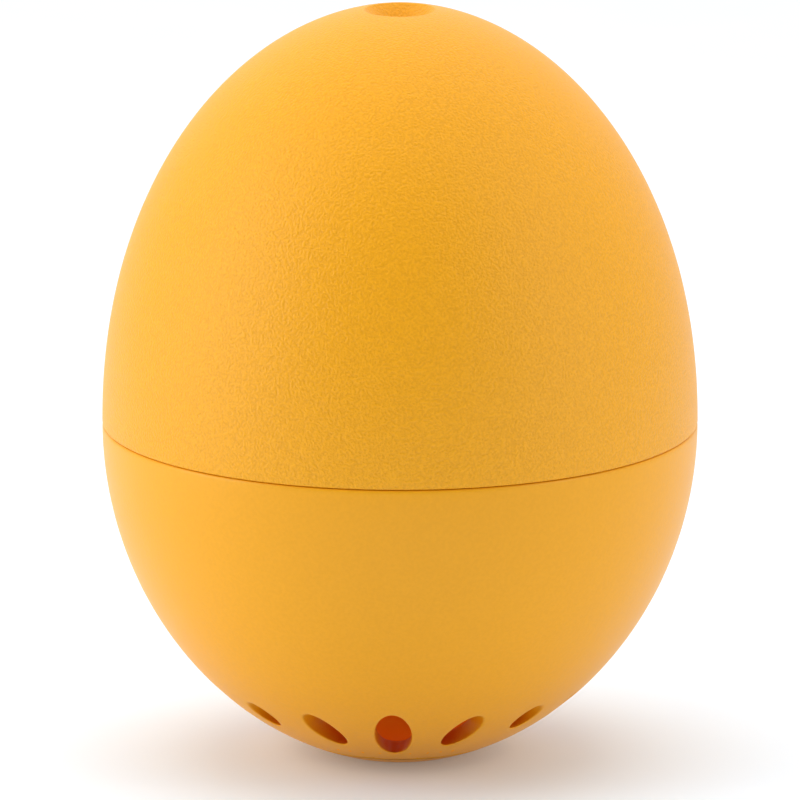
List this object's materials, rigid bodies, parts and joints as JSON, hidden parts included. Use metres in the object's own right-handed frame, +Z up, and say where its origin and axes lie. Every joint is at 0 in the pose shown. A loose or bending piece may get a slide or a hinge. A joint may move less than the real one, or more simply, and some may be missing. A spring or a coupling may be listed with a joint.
{
  "type": "egg timer",
  "caption": "Egg-shaped kitchen timer: a two-part vented shell with a seam at its widest line, round a sealed sensing capsule.",
  "frame": {"origin": "centre of the flat foot, on the surface that the egg stands on", "axes": "+Z up along the egg's axis to the crown opening; -Y towards the viewer of the reference view, facing the middle one of the foot holes"},
  "size_m": [0.047, 0.047, 0.0597],
  "materials": {
    "shell_plastic": "fine spark-eroded texture above the seam, smoother satin below",
    "capsule_plastic": "satin moulded",
    "seal_rubber": "matt silicone",
    "steel": "bright zinc plating",
    "tinned_metal": "satin tin or nickel plating",
    "brass": "rolled, slightly dulled",
    "copper_wire": "enamelled",
    "board_laminate": "solder resist over glass laminate",
    "black_plastic": "moulded, satin",
    "black_epoxy": "cast, satin",
    "cream_epoxy": "cast",
    "ceramic": "fired, with a silvered face",
    "tantalum_yellow": "moulded case",
    "red_insulation": "soft sleeve",
    "black_insulation": "soft sleeve"
  },
  "bodies": {
    "lower_shell": {"lower_shell": "shell_plastic"},
    "capsule_cup": {"capsule_cup": "capsule_plastic", "capsule_seal": "seal_rubber", "ballast_ring": "steel", "circuit_board": "board_laminate", "board_screws": "steel", "controller_chip": "black_epoxy", "clock_crystal": "tinned_metal", "boost_core": "ceramic", "boost_winding": "copper_wire", "driver_transistor": "black_epoxy", "storage_capacitor": "tantalum_yellow", "chip_resistors": "black_epoxy", "chip_capacitors": "ceramic", "cell_tray": "black_plastic", "cell_contact_plus": "tinned_metal", "cell_contact_minus": "tinned_metal", "sensor_sleeve": "steel", "thermistor_bead": "black_epoxy", "thermistor_leads": "tinned_metal", "sensor_potting": "cream_epoxy", "sounder_lead_red": "red_insulation", "sounder_lead_black": "black_insulation"},
    "coin_cell": {"cell_can": "tinned_metal", "cell_gasket": "black_plastic", "cell_cap": "steel"},
    "capsule_lid": {"capsule_lid": "capsule_plastic", "capsule_screws": "steel", "sounder_plate": "brass", "sounder_ceramic": "ceramic", "sounder_glue_ring": "cream_epoxy", "sounder_solder": "tinned_metal"},
    "upper_shell": {"upper_shell": "shell_plastic"}
  },
  "joints": [
    {"name": "capsule_lift", "type": "slide", "parent": "lower_shell", "child": "capsule_cup", "axis": [0, 0, 1], "range_m": [0, 0.032]},
    {"name": "lid_lift", "type": "slide", "parent": "capsule_cup", "child": "capsule_lid", "axis": [0, 0, 1], "range_m": [0, 0.012], "deforming": ["sounder_lead_red", "sounder_lead_black"]},
    {"name": "cell_lift", "type": "slide", "parent": "capsule_cup", "child": "coin_cell", "axis": [0, 0, 1], "range_m": [0, 0.006]},
    {"name": "shell_lift", "type": "slide", "parent": "capsule_lid", "child": "upper_shell", "axis": [0, 0, 1], "range_m": [0, 0.022]}
  ]
}
